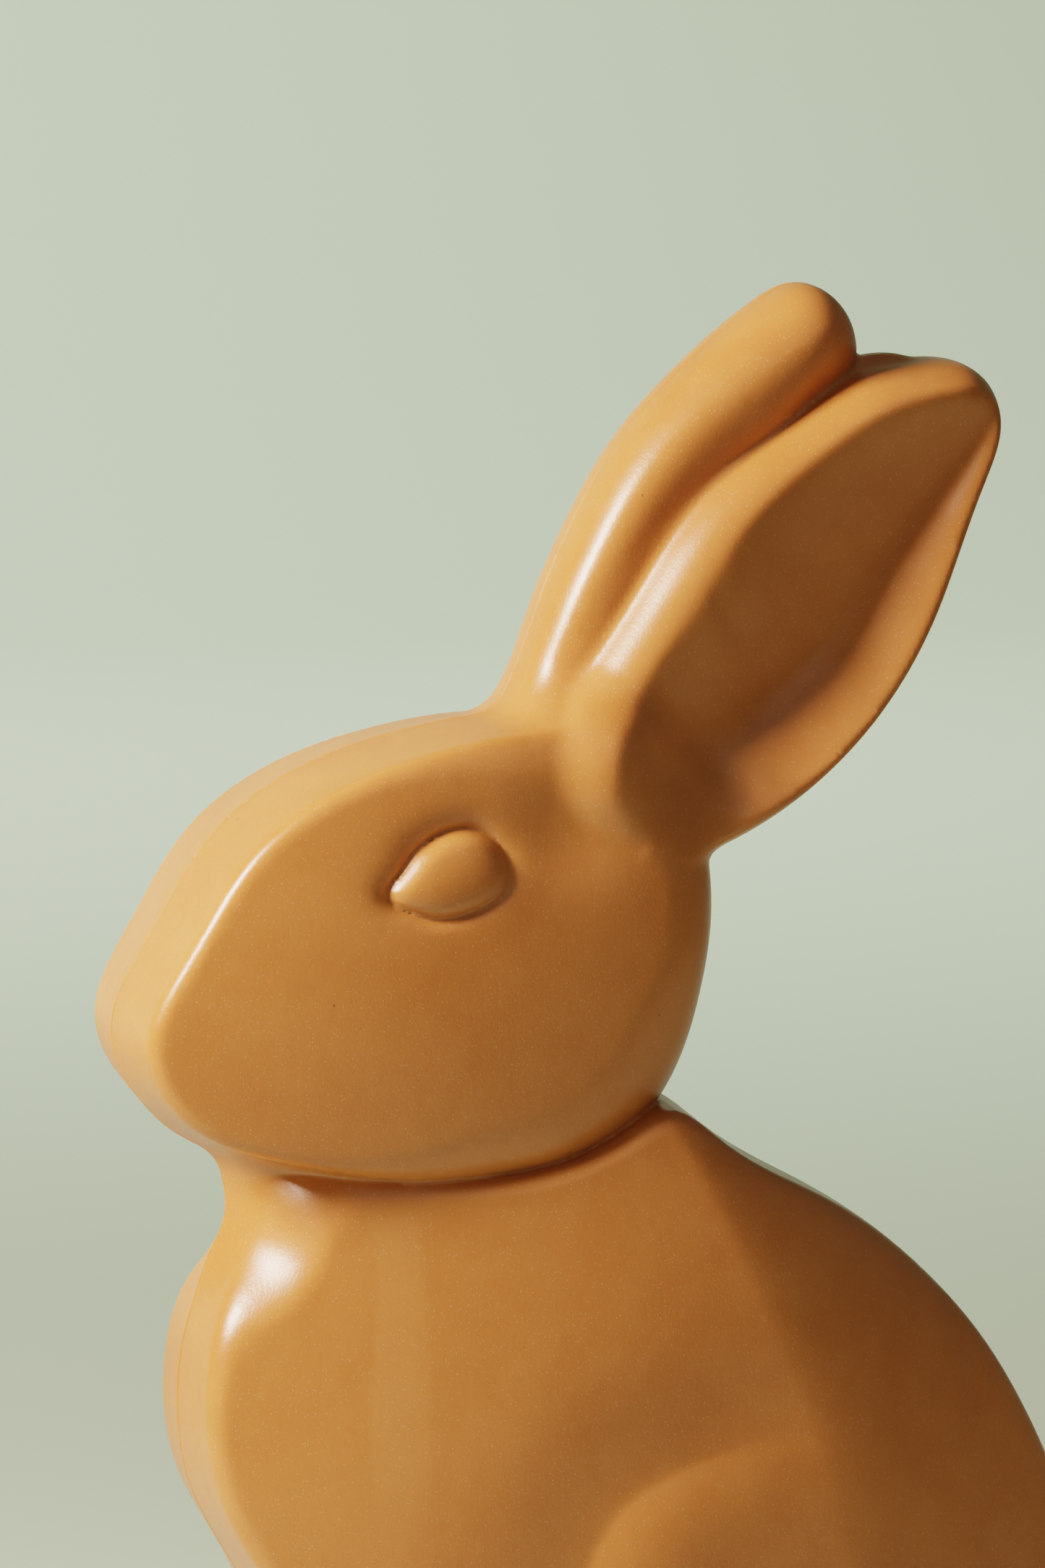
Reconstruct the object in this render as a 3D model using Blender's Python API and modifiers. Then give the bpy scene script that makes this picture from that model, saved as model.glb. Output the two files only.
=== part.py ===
"""A seated rabbit moulded in chocolate, one solid piece in profile.

The nose points to -X, the two halves of the mould meet at Y = 0 and the flat base lies on Z = 0.
Shapes are worked out in millimetres and the finished mesh is scaled to metres.
"""

import math

import bmesh
import bpy
import numpy as np
from mathutils import Matrix

MM = 0.001

# Mould walls: every outline is given on the seam and leans in as it rises to the face
HALF = 11.0
DRAFT = 0.075
EDGE_ROUND = 1.3
BACK_ROUND = 3.6
BACK_FROM = -4.0
BACK_TO = 16.0
OUTLINE_STEPS = 160
FILLET_STEPS = 4

# Crown of the faces: share of the outline's size, and share of the crown's height
CROWN_RINGS = ((0.86, 0.36), (0.66, 0.7), (0.42, 0.9), (0.18, 1.0))
BODY_CROWN = 2.6
HEAD_CROWN = 1.8

# Outlines on the seam plane, as (x, z)
HEAD = (
    (-21.5, 111.0), (-30.8, 108.2), (-40.3, 101.8), (-46.3, 93.0), (-49.7, 84.5), (-45.8, 77.0),
    (-37.6, 73.4), (-27.0, 71.3), (-16.0, 71.2), (-7.2, 72.9), (-0.6, 77.6), (2.3, 84.0),
    (3.7, 93.0), (3.5, 99.5), (0.6, 106.0), (-9.0, 111.2),
)
BODY = (
    (-36.6, 70.9), (-39.2, 67.4), (-42.2, 61.2), (-43.9, 53.4), (-42.5, 43.3), (-38.0, 33.4),
    (-34.8, 23.0), (-34.6, 12.0), (-36.0, 0.0), (-33.0, -8.0), (0.0, -9.0), (34.0, -8.0),
    (40.0, 2.0), (42.5, 18.0), (41.0, 33.2), (35.7, 46.3), (25.7, 59.9), (14.2, 68.5), (4.6, 74.1),
    (-1.4, 76.9), (-6.4, 75.0), (-13.0, 73.0), (-21.0, 72.4), (-28.0, 72.7), (-33.0, 72.7),
)
NECK = (
    (-43.6, 76.6), (-41.0, 73.6), (-39.8, 70.4), (-40.1, 67.2), (-40.8, 63.6), (-36.0, 55.0),
    (-24.0, 51.0), (-13.0, 59.0), (-11.0, 74.0), (-18.0, 86.0), (-34.0, 88.0), (-43.0, 83.0),
)
REAR_EAR = (
    (-5.6, 104.0), (-5.8, 112.0), (-3.4, 120.4), (1.6, 128.4), (9.0, 135.3), (17.0, 140.4),
    (24.0, 142.8), (29.2, 141.8), (31.5, 137.4), (29.9, 130.6), (25.6, 120.2), (19.1, 110.4),
    (10.7, 102.5), (3.0, 98.0), (-2.6, 99.0),
)
WEB = (
    (-11.0, 108.0), (-9.4, 116.0), (-5.0, 124.0), (2.0, 131.6), (11.0, 138.0), (18.4, 142.6),
    (23.4, 142.4), (22.4, 137.8), (16.0, 133.0), (8.0, 127.0), (2.0, 119.0), (-1.0, 108.0), (-5.0, 103.0),
)
THIGH = (
    (-11.6, 27.0), (-9.6, 36.4), (-3.2, 43.4), (6.0, 46.3), (17.0, 46.0), (28.0, 41.6),
    (36.0, 32.0), (38.4, 18.0), (35.0, 2.0), (14.0, -10.0), (-5.4, 0.0), (-10.4, 14.0),
)
FOOT = (
    (-22.6, 3.6), (-19.0, 8.8), (-10.0, 10.6), (4.0, 10.6), (14.0, 4.0), (12.0, -8.0), (-18.0, -8.0),
)
PAW = (
    (-41.2, 3.2), (-38.6, 8.6), (-33.0, 11.0), (-27.6, 9.4), (-25.2, 3.2), (-27.0, -7.0), (-39.4, -7.0),
)
EYE = (
    (-27.5, 96.7), (-25.2, 100.2), (-21.6, 102.3), (-18.2, 101.6), (-16.6, 98.9), (-18.0, 95.7),
    (-21.6, 94.4), (-25.0, 94.9),
)

# Half thickness, edge rounding and crown of each part, and the lean of the neck's walls
NECK_SIZES = (7.5, 1.5, 0.0)
WEB_SIZES = (5.0, 1.0, 0.2)
NECK_DRAFT = 0.3
REAR_EAR_SIZES = (9.0, 3.4, 0.3)
THIGH_SIZES = (14.1, 2.4, 1.3)
FOOT_SIZES = (13.2, 2.4, 0.5)
PAW_SIZES = (12.2, 2.4, 0.5)

# Tail: middle and radii of a ball
TAIL_AT = (42.3, 0.0, 14.5)
TAIL_RADII = (7.4, 7.0, 7.6)

# Front ear: middle line (x, z) with the half width, and its thickness as a share of the width
FRONT_EAR = (
    (-10.4, 106.0, 6.4), (-9.0, 111.6, 5.0), (-7.4, 117.0, 4.7), (-5.0, 122.6, 5.0), (-1.0, 129.4, 5.7),
    (4.6, 135.8, 6.3), (9.4, 140.2, 6.6), (12.8, 143.6, 6.8), (14.4, 146.9, 5.3), (15.0, 148.5, 3.7),
    (15.3, 149.4, 1.8), (15.4, 149.7, 0.3),
)
FRONT_EAR_FLAT = 1.22

# Ear scoop: left rim, crease and right rim at each station, and how deep the crease lies
SCOOP = (
    ((28.2, 139.3), (28.6, 138.9), (28.8, 138.4)),
    ((25.2, 139.4), (27.6, 136.6), (28.8, 136.0)),
    ((19.5, 136.8), (23.4, 131.4), (26.9, 130.2)),
    ((12.5, 133.0), (18.2, 126.0), (24.0, 123.6)),
    ((6.5, 128.2), (14.2, 120.2), (20.4, 117.2)),
    ((2.0, 122.4), (10.2, 115.1), (16.2, 111.8)),
    ((-1.2, 115.8), (5.6, 110.6), (10.8, 107.0)),
    ((-3.0, 109.6), (1.6, 107.2), (5.0, 104.2)),
    ((-2.6, 106.6), (-0.8, 105.8), (1.0, 103.6)),
)
SCOOP_RIM = 9.4
SCOOP_FLOOR = (7.6, 5.2, 4.2, 3.9, 3.9, 4.3, 5.2, 6.6, 8.8)
SCOOP_TOP = 14.0

# Eye: a moat cut round a low dome, a little above its middle
MOAT_SCALE = 1.16
MOAT_DEPTH = 1.0
MOAT_LIFT = 0.5
EYE_RISE = 1.3

# Mesh: cell of the even mesh, softening passes, and triangles to keep
CELL = 0.42
SOFTEN_PASSES = 9
SOFT_PASSES = 80
TRIANGLES = 11400
SHARP = math.radians(50.0)
WELD = 0.0001

# Places softened further, as (x, z, reach)
SOFT_SPOTS = (
    (-2.0, 106.0, 9.0), (-8.0, 111.0, 5.0), (4.0, 101.0, 5.0), (0.0, 118.0, 5.0), (-38.0, 71.6, 4.0),
    (19.5, 142.0, 4.0), (10.0, 137.0, 4.0), (20.0, 62.0, 10.0), (32.0, 48.0, 8.0), (-36.0, 66.0, 6.0),
    (22.0, 44.0, 9.0), (36.0, 26.0, 8.0), (-3.0, 124.0, 4.0), (3.0, 130.6, 5.0), (-4.6, 108.0, 7.0),
)


def clear():
    for thing in list(bpy.data.objects):
        bpy.data.objects.remove(thing, do_unlink=True)


def closed_spline(points, count):
    """Even steps along a smooth closed curve through the points."""
    p = np.array(points, float)
    n = len(p)
    chord = np.hypot(*(np.roll(p, -1, 0) - p).T)
    a = np.zeros((n, n))
    b = np.zeros((n, 2))
    for i in range(n):
        before, after = chord[i - 1], chord[i]
        a[i, i - 1] += after
        a[i, i] += 2 * (before + after)
        a[i, (i + 1) % n] += before
        rise = after * (p[i] - p[i - 1]) / before + before * (p[(i + 1) % n] - p[i]) / after
        b[i] = 3 * rise
    slope = np.linalg.solve(a, b)
    start = np.concatenate([[0], np.cumsum(chord)])
    s = np.linspace(0, start[-1], count, endpoint=False)
    i = np.clip(np.searchsorted(start, s, side="right") - 1, 0, n - 1)
    j = (i + 1) % n
    h = chord[i][:, None]
    u = (s - start[i])[:, None] / h
    return (
        (2 * u**3 - 3 * u**2 + 1) * p[i] + (u**3 - 2 * u**2 + u) * h * slope[i]
        + (3 * u**2 - 2 * u**3) * p[j] + (u**3 - u**2) * h * slope[j]
    )


def inward(outline):
    """Unit vectors pointing into a closed outline."""
    along = np.roll(outline, -1, 0) - np.roll(outline, 1, 0)
    along /= np.hypot(*along.T)[:, None]
    side = np.stack([along[:, 1], -along[:, 0]], 1)
    middle = outline.mean(0)
    turn = np.sign(((middle - outline) * side).sum())
    return side * turn


def level(flat, height):
    """A ring of points (x, y, z) from flat ones (x, z), raised towards -Y."""
    return np.insert(flat, 1, -height, axis=1)


def rings_of(outline, half, edge, crown, draft):
    """The levels of a plate from the top of its wall to its crown."""
    side = inward(outline)
    rings = []
    wall = half - edge
    for k in range(FILLET_STEPS + 1):
        turn = math.pi / 2 * k / FILLET_STEPS
        inset = draft * wall + edge * (1 - math.cos(turn))
        flat = outline + side * np.reshape(inset, (-1, 1))
        rings.append(level(flat, wall + edge * math.sin(turn)))
    rim = flat
    middle = rim.mean(0)
    for size, height in CROWN_RINGS:
        rings.append(level(middle + (rim - middle) * size, half + crown * height))
    return rings


def raise_face(mesh, face, ring):
    """Extrude a face and set its corners on the next ring."""
    top = bmesh.ops.extrude_discrete_faces(mesh, faces=[face])["faces"][0]
    for corner, place in zip(top.verts, ring):
        corner.co = place
    return top


def to_object(name, mesh):
    data = bpy.data.meshes.new(name)
    mesh.to_mesh(data)
    mesh.free()
    thing = bpy.data.objects.new(name, data)
    bpy.context.scene.collection.objects.link(thing)
    return thing


def settle(thing):
    """Replace an object's mesh by what its modifiers make of it."""
    graph = bpy.context.evaluated_depsgraph_get()
    data = bpy.data.meshes.new_from_object(thing.evaluated_get(graph))
    thing.modifiers.clear()
    thing.data = data
    return thing


def close_up(thing):
    """Weld coincident corners and turn every face outwards."""
    mesh = bmesh.new()
    mesh.from_mesh(thing.data)
    bmesh.ops.remove_doubles(mesh, verts=mesh.verts, dist=WELD)
    bmesh.ops.recalc_face_normals(mesh, faces=mesh.faces)
    mesh.to_mesh(thing.data)
    mesh.free()


def mirrored(thing, bisect=False):
    mirror = thing.modifiers.new("other half", "MIRROR")
    mirror.use_axis = (False, True, False)
    mirror.use_bisect_axis = (False, bisect, False)
    mirror.use_bisect_flip_axis = (False, bisect, False)
    mirror.merge_threshold = WELD
    settle(thing)
    close_up(thing)
    return thing


def pad(name, points, half, edge, crown, draft=DRAFT):
    """A drafted, rounded and crowned plate on both sides of the seam."""
    outline = closed_spline(points, OUTLINE_STEPS)
    mesh = bmesh.new()
    face = mesh.faces.new([mesh.verts.new(place) for place in level(outline, 0.0)])
    for ring in rings_of(outline, half, edge, crown, draft):
        face = raise_face(mesh, face, ring)
    return mirrored(to_object(name, mesh))


def back_edge():
    """The body's edge rounding at each step of its outline, wider along the back."""
    x = closed_spline(BODY, OUTLINE_STEPS)[:, 0]
    share = np.clip((x - BACK_FROM) / (BACK_TO - BACK_FROM), 0.0, 1.0)
    return EDGE_ROUND + (BACK_ROUND - EDGE_ROUND) * share**2 * (3 - 2 * share)


def front_ear():
    """A flattened tube along the ear's middle line."""
    curve = bpy.data.curves.new("front ear", "CURVE")
    curve.dimensions = "3D"
    curve.bevel_depth = 1.0
    curve.bevel_resolution = 8
    curve.use_fill_caps = True
    curve.twist_mode = "Z_UP"
    spline = curve.splines.new("BEZIER")
    spline.resolution_u = 8
    spline.bezier_points.add(len(FRONT_EAR) - 1)
    for knot, (x, z, radius) in zip(spline.bezier_points, FRONT_EAR):
        knot.co = (x, 0.0, z)
        knot.radius = radius
        knot.handle_left_type = "AUTO"
        knot.handle_right_type = "AUTO"
    tube = bpy.data.objects.new("front ear", curve)
    bpy.context.scene.collection.objects.link(tube)
    graph = bpy.context.evaluated_depsgraph_get()
    data = bpy.data.meshes.new_from_object(tube.evaluated_get(graph))
    bpy.data.objects.remove(tube, do_unlink=True)
    data.transform(Matrix.Diagonal((1.0, FRONT_EAR_FLAT, 1.0, 1.0)))
    ear = bpy.data.objects.new("front ear", data)
    bpy.context.scene.collection.objects.link(ear)
    close_up(ear)
    return ear


def tail():
    mesh = bmesh.new()
    place = Matrix.Translation(TAIL_AT) @ Matrix.Diagonal((*TAIL_RADII, 1.0))
    bmesh.ops.create_uvsphere(mesh, u_segments=32, v_segments=20, radius=1.0, matrix=place)
    return to_object("tail", mesh)


def scoop(side):
    """The ear's V-shaped hollow as a cutter, lofted from station to station."""
    mesh = bmesh.new()
    loops = []
    for (left, crease, right), floor in zip(SCOOP, SCOOP_FLOOR):
        corners = (
            (left[0], side * SCOOP_TOP, left[1]), (left[0], side * SCOOP_RIM, left[1]),
            (crease[0], side * floor, crease[1]), (right[0], side * SCOOP_RIM, right[1]),
            (right[0], side * SCOOP_TOP, right[1]),
        )
        verts = [mesh.verts.new(c) for c in corners]
        loops.append([mesh.edges.new((verts[i - 1], verts[i])) for i in range(len(verts))])
    for near, far in zip(loops, loops[1:]):
        bmesh.ops.bridge_loops(mesh, edges=near + far)
    bmesh.ops.holes_fill(mesh, edges=loops[0] + loops[-1])
    bmesh.ops.recalc_face_normals(mesh, faces=mesh.faces)
    cutter = to_object("scoop", mesh)
    smooth = cutter.modifiers.new("smooth loft", "SUBSURF")
    smooth.levels = 2
    smooth.render_levels = 2
    return settle(cutter)


def disc(name, heights, lift, side):
    """Stacked eye outlines, each as (share of the outline, height)."""
    outline = closed_spline(EYE, 64)
    middle = outline.mean(0)
    raised = middle + (0.0, lift)
    rings = [level(raised + (outline - middle) * share, -side * y) for share, y in heights]
    mesh = bmesh.new()
    start = mesh.faces.new([mesh.verts.new(place) for place in rings[0]])
    face = start.copy()
    for ring in rings[1:]:
        face = raise_face(mesh, face, ring)
    bmesh.ops.remove_doubles(mesh, verts=mesh.verts, dist=WELD)
    bmesh.ops.recalc_face_normals(mesh, faces=mesh.faces)
    return to_object(name, mesh)


def moat(side):
    face = HALF + HEAD_CROWN
    floor = face - MOAT_DEPTH
    levels = [(0.9, floor), (1.0, floor), (MOAT_SCALE, face), (2 * MOAT_SCALE - 1.0, face + MOAT_DEPTH)]
    return disc("moat", levels, MOAT_LIFT, side)


def eye(side):
    face = HALF + HEAD_CROWN
    floor = face - MOAT_DEPTH
    levels = [(1.0, floor - 1.5), (1.0, floor)]
    for k in range(1, 7):
        turn = math.pi / 2 * k / 7
        levels.append((math.cos(turn), floor + EYE_RISE * math.sin(turn)))
    return disc("eye", levels, 0.0, side)


def combine(body, others, operation):
    """Join or cut with each of the other solids in turn."""
    for other in others:
        step = body.modifiers.new(other.name, "BOOLEAN")
        step.operation = operation
        step.solver = "EXACT"
        step.object = other
    settle(body)
    for other in others:
        bpy.data.objects.remove(other, do_unlink=True)
    return body


def base_cutter():
    mesh = bmesh.new()
    bmesh.ops.create_cube(mesh, size=120.0, matrix=Matrix.Translation((0.0, 0.0, -60.0)))
    return to_object("below the base", mesh)


def even_mesh(thing):
    remesh = thing.modifiers.new("even mesh", "REMESH")
    remesh.mode = "VOXEL"
    remesh.voxel_size = CELL
    return settle(thing)


def soft_weight(x, z):
    near = [math.exp(-((x - a) ** 2 + (z - b) ** 2) / reach**2) for a, b, reach in SOFT_SPOTS]
    return max(near)


def soften(thing):
    """Round every edge a little, and the listed places more."""
    group = thing.vertex_groups.new(name="soft")
    for vertex in thing.data.vertices:
        group.add([vertex.index], soft_weight(vertex.co.x, vertex.co.z), "REPLACE")
    everywhere = thing.modifiers.new("soften", "SMOOTH")
    everywhere.factor = 0.5
    everywhere.iterations = SOFTEN_PASSES
    places = thing.modifiers.new("soften places", "SMOOTH")
    places.factor = 0.5
    places.iterations = SOFT_PASSES
    places.vertex_group = group.name
    return settle(thing)


def reduce(thing):
    count = sum(len(face.vertices) - 2 for face in thing.data.polygons)
    fewer = thing.modifiers.new("fewer faces", "DECIMATE")
    fewer.ratio = TRIANGLES / count
    fewer.use_collapse_triangulate = True
    return settle(thing)


def chocolate():
    material = bpy.data.materials.new("milk chocolate")
    material.use_nodes = True
    shader = material.node_tree.nodes["Principled BSDF"]
    shader.inputs["Base Color"].default_value = (0.47, 0.21, 0.062, 1.0)
    shader.inputs["Roughness"].default_value = 0.32
    return material


def rabbit():
    body = pad("rabbit", BODY, HALF, back_edge(), BODY_CROWN)
    parts = [
        pad("head", HEAD, HALF, EDGE_ROUND, HEAD_CROWN),
        pad("neck", NECK, *NECK_SIZES, draft=NECK_DRAFT),
        pad("rear ear", REAR_EAR, *REAR_EAR_SIZES),
        pad("web", WEB, *WEB_SIZES),
        front_ear(),
        pad("thigh", THIGH, *THIGH_SIZES),
        pad("foot", FOOT, *FOOT_SIZES),
        pad("paw", PAW, *PAW_SIZES),
        tail(),
    ]
    combine(body, parts, "UNION")
    combine(body, [scoop(-1), scoop(1), moat(-1), moat(1)], "DIFFERENCE")
    combine(body, [eye(-1), eye(1)], "UNION")
    even_mesh(body)
    soften(body)
    mirrored(body, bisect=True)
    combine(body, [base_cutter()], "DIFFERENCE")
    reduce(body)
    body.data.transform(Matrix.Scale(MM, 4))
    body.data.shade_smooth()
    body.data.set_sharp_from_angle(angle=SHARP)
    body.data.materials.clear()
    body.data.materials.append(chocolate())
    return body


clear()
rabbit()
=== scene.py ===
"""The moulded chocolate rabbit's looks: a fine mesh, chocolate, a plain studio and the photograph's camera.

The rabbit is one closed surface in millimetres: drafted plates with rounded edges, blended and cut,
found on a grid, drawn onto the exact surface and scaled to metres.
"""

import math

import bmesh
import bpy
import numpy as np
from mathutils import Matrix, Vector


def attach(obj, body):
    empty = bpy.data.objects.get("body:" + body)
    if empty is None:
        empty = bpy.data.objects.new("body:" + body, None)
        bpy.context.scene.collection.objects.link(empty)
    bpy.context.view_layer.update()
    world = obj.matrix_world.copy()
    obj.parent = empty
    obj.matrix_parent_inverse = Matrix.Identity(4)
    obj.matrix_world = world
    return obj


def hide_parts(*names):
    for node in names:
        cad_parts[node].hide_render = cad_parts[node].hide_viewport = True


MM = 0.001

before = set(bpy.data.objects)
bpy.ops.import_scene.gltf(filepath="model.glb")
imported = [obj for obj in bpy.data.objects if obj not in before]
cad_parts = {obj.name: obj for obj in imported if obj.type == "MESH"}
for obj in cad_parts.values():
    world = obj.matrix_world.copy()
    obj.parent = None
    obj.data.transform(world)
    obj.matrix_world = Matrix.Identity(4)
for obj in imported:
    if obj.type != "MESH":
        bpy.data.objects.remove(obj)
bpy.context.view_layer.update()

# Grid of the surface finder, in millimetres
STEP = 0.5
X_RANGE = (-53.0, 53.0)
Y_REACH = 16.0
Z_RANGE = (-3.0, 153.5)

# Mould line, in metres: half its width at the foot and on top, its height, and how close points merge
SEAM_FOOT = 0.27 * MM
SEAM_TOP = 0.12 * MM
SEAM_RISE = 0.28 * MM
SEAM_MERGE = 1e-7

# Where the mesh is split once more
EYE_FINE = 2.6
CREASE_FINE = 2.2
CREASE_TOP = 80.0
FACE_FROM = 6.0

# Mould walls: height of the face's edge over the seam, and the draft
HALF = 11.0
DRAFT = 0.075

# Outlines in x and z, at the seam
HEAD = (
    (-21.5, 110.7), (-30.8, 108.0), (-40.3, 101.7), (-46.1, 92.9), (-49.5, 84.5), (-45.7, 77.0),
    (-37.6, 73.4), (-27.0, 71.3), (-16.0, 71.2), (-7.4, 72.7), (-3.2, 74.6), (0.3, 78.7), (1.9, 82.6),
    (3.1, 88.3), (3.8, 94.0), (3.7, 98.5), (2.6, 103.0), (-1.4, 106.6), (-6.0, 109.8), (-12.0, 111.5),
)
BODY = (
    (-36.6, 70.9), (-38.9, 67.2), (-42.0, 61.1), (-43.7, 53.4), (-42.5, 43.3), (-37.4, 33.6),
    (-34.7, 23.0), (-34.6, 12.0), (-36.0, 0.0), (-36.0, -12.0), (-33.0, -28.0), (34.0, -28.0),
    (39.0, -10.0), (40.2, 2.0), (42.6, 18.0), (41.0, 33.3), (35.8, 46.4), (31.2, 53.8), (25.7, 59.9),
    (20.1, 64.6), (14.1, 68.4), (4.6, 74.1), (-1.3, 77.6), (-6.4, 75.4), (-13.0, 73.0), (-21.0, 72.4),
    (-28.0, 72.7), (-33.0, 72.7),
)
NECK = (
    (-43.7, 76.5), (-40.8, 74.0), (-39.6, 70.6), (-39.3, 67.1), (-40.6, 63.7), (-36.0, 55.0),
    (-24.0, 51.0), (-14.0, 59.0), (-12.0, 74.0), (-18.0, 86.0), (-34.0, 88.0), (-43.0, 83.0),
)
FRONT_EAR = (
    (-12.9, 106.0), (-13.1, 110.0), (-12.7, 113.4), (-11.8, 116.8), (-10.7, 121.2), (-8.0, 127.8),
    (-2.9, 136.4), (1.5, 141.2), (6.9, 146.0), (10.3, 148.5), (13.4, 149.9), (16.4, 148.6), (18.3, 145.7),
    (18.9, 142.4), (17.0, 139.5), (13.2, 136.9), (7.5, 133.2), (3.3, 129.7), (-0.5, 124.8), (-3.1, 120.4),
    (-6.4, 115.2), (-8.2, 110.6), (-9.0, 106.0),
)
REAR_EAR = (
    (-10.2, 104.0), (-10.4, 109.6), (-10.2, 114.6), (-8.8, 117.0), (-5.2, 122.2), (-2.5, 126.4),
    (1.6, 131.6), (6.0, 135.2), (11.8, 138.9), (17.5, 142.0), (23.6, 142.9), (29.3, 142.2), (32.0, 137.6),
    (30.4, 131.0), (26.3, 120.5), (20.0, 110.2), (11.2, 102.1), (3.2, 98.0), (-4.0, 97.0),
)
WEB = (
    (-11.0, 108.0), (-9.4, 116.0), (-5.0, 124.0), (2.0, 131.6), (11.0, 138.0), (18.4, 142.6),
    (23.4, 142.4), (22.4, 137.8), (16.0, 133.0), (8.0, 127.0), (2.0, 119.0), (-1.0, 108.0), (-5.0, 103.0),
)
THIGH = (
    (-11.6, 27.0), (-9.8, 36.4), (-6.4, 42.0), (0.2, 45.4), (9.7, 47.2), (20.0, 47.4), (30.0, 44.0),
    (40.0, 36.0), (46.0, 20.0), (44.0, -6.0), (20.0, -22.0), (-5.4, -14.0), (-10.4, 8.0),
)
FOOT = (
    (-22.6, 3.6), (-19.0, 8.8), (-10.0, 10.6), (4.0, 10.6), (14.0, 4.0), (12.0, -8.0), (-18.0, -8.0),
)
PAW = (
    (-41.2, 3.2), (-38.6, 8.6), (-33.0, 11.0), (-27.6, 9.4), (-25.2, 3.2), (-27.0, -7.0), (-39.4, -7.0),
)
EYE = (
    (-28.0, 97.2), (-27.0, 98.9), (-25.3, 101.0), (-23.9, 102.0), (-22.3, 102.7), (-20.2, 102.8),
    (-18.3, 101.9), (-17.0, 100.0), (-17.0, 98.3), (-18.5, 96.5), (-21.0, 95.4), (-23.8, 95.1),
    (-26.3, 95.9), (-27.5, 96.5),
)
OUTLINE_POINTS = 150
LONG_OUTLINE_POINTS = 220
SMALL_OUTLINE_POINTS = 90

# Ear scoop: points of the crease, and at each its floor's height and the slopes either side. Then how it is
# softened: steps between points, the softness at some of them, blurs, its lean and its edge
CREASE = (
    (29.8, 138.4), (27.4, 134.8), (23.8, 130.2), (20.0, 125.6), (16.8, 121.4), (14.0, 117.4), (9.2, 113.2),
    (4.6, 110.2), (1.2, 106.6),
)
CREASE_FLOOR = (7.4, 6.3, 5.4, 4.8, 4.5, 4.5, 5.2, 6.6, 8.0)
LEFT_SLOPES = (0.44, 0.44, 0.44, 0.46, 0.49, 0.52, 0.54, 0.52, 0.50)
RIGHT_SLOPES = (0.9, 0.9, 0.8, 0.7, 0.66, 0.66, 0.64, 0.56, 0.5)
CREASE_SPLITS = 8
CREASE_SOFT = ((0, 3, 6, 8), (0.3, 0.7, 1.8, 3.0))
SLOPE_BLUR = 0.8
SCOOP_BLUR = 0.5
SCOOP_LEAN = 0.9
SCOOP_SOFT = 0.8

# Blur of the outlines that soft forms are built on
SOFTENING = {"front": 1.4, "rear": 1.1, "eye": 0.7}

# Head: the face's dome, soft areas as a place and a reach, how far the temple sinks, and the edges' rounding
# as a width of the face and a depth of the wall
HEAD_DOME = ((-24.5, 91.5), (29.0, 27.0), 3.2)
CHEEK_X = (-14.0, 0.0)
JAW_Z = (78.0, 92.0)
CHIN_X = (-36.0, -14.0)
NAPE = ((0.0, 108.0), (8.0, 7.0))
BROW = ((-13.0, 110.0), (9.0, 6.0))
TEMPLE = ((-12.0, 102.0), (5.5, 4.5))
TEMPLE_DEPTH = 0.75
HEAD_EDGE = (1.15, 1.15)
CHEEK_EDGE = (4.8, 3.2)
JAW_EDGE = (4.6, 0.0)
CHIN_EDGE = (4.2, 2.0)
NAPE_EDGE = (3.0, 3.0)
BROW_EDGE = (3.0, 0.0)
CHEEK_POWER = 0.35

# Eye: its middle, the way across the egg, how sharp its edge is, and the sizes of the flank, dome and moat
EYE_MIDDLE = (-22.0, 98.4)
EYE_ACROSS = (0.2, 0.94)
EYE_HALF = 4.0
EYE_RIGHT = (-20.5, -17.0)
EYE_SHARP = 0.4
FLANK_WIDE = 1.7
FLANK_POWER = 2.2
EYE_DOME = 0.7
EYE_DOME_WIDE = 3.9
MOAT_DEPTH = 0.90
MOAT_DEEPER_ABOVE = 0.25
MOAT_SHALLOWER_RIGHT = 0.35
MOAT_REACH = 0.85
MOAT_WIDER_ABOVE = 0.35

# Body: the face's height and dome, the fall towards the back, the chest's corner, the edges and the haunch
BODY_HALF = 8.0
BODY_DOME = ((-7.5, 33.0), (45.0, 62.0), 6.2)
BACK_X = (-4.0, 26.0)
BACK_FALL_FROM = -10.0
BACK_FALL = 0.0005
CHEST = ((-37.0, 66.0), (6.2, 6.2))
CHEST_CUT = 0.8
BODY_EDGE = (1.5, 1.5)
BACK_EDGE = (33.0, 6.8)
CHEST_EDGE = (7.0, 4.2)
BACK_POWER = 0.2
LEAST_WALL = 0.5
LEAST_DEEP = 1.5
DITCH_DEPTH = 1.0
DITCH_REACH = 8.0
DITCH_X = (0.0, 20.0)
THIGH_FROM = 0.2
THIGH_WIDE = 8.0
THIGH_POWER = 2.2
THIGH_RISE = 0.1
THIGH_RISE_FRONT = 1.0
THIGH_RISE_X = (-4.0, 16.0)

# Ears: the width, height and squareness of each, what the valley between them and the rear one's right side
# change, their edges, and the web between them
VALLEY = (-5.0, 0.5)
VALLEY_SPREAD = 1.8
VALLEY_X = (8.0, 15.0)
FRONT_WIDE = 5.6
FRONT_WIDER_IN_VALLEY = 4.4
FRONT_HIGH = 7.5
FRONT_POWER = 2.2
REAR_SIDE = (-2.0, 4.0)
REAR_WIDE = 5.7
REAR_NARROWER_RIGHT = 2.5
REAR_HIGH = 10.0
REAR_LOWER_RIGHT = 1.6
REAR_LOWER_Z = (110.0, 128.0)
REAR_POWER = 2.0
EAR_LIP = 0.6
REAR_LIP_RIGHT = 1.2
WEB_TOP = 5.8
WEB_FALL = 4.0
WEB_FALL_X = (4.0, 17.0)
WEB_EDGE = 0.8
EARS_BLEND = 0.7
WEB_BLEND = 1.6

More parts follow.
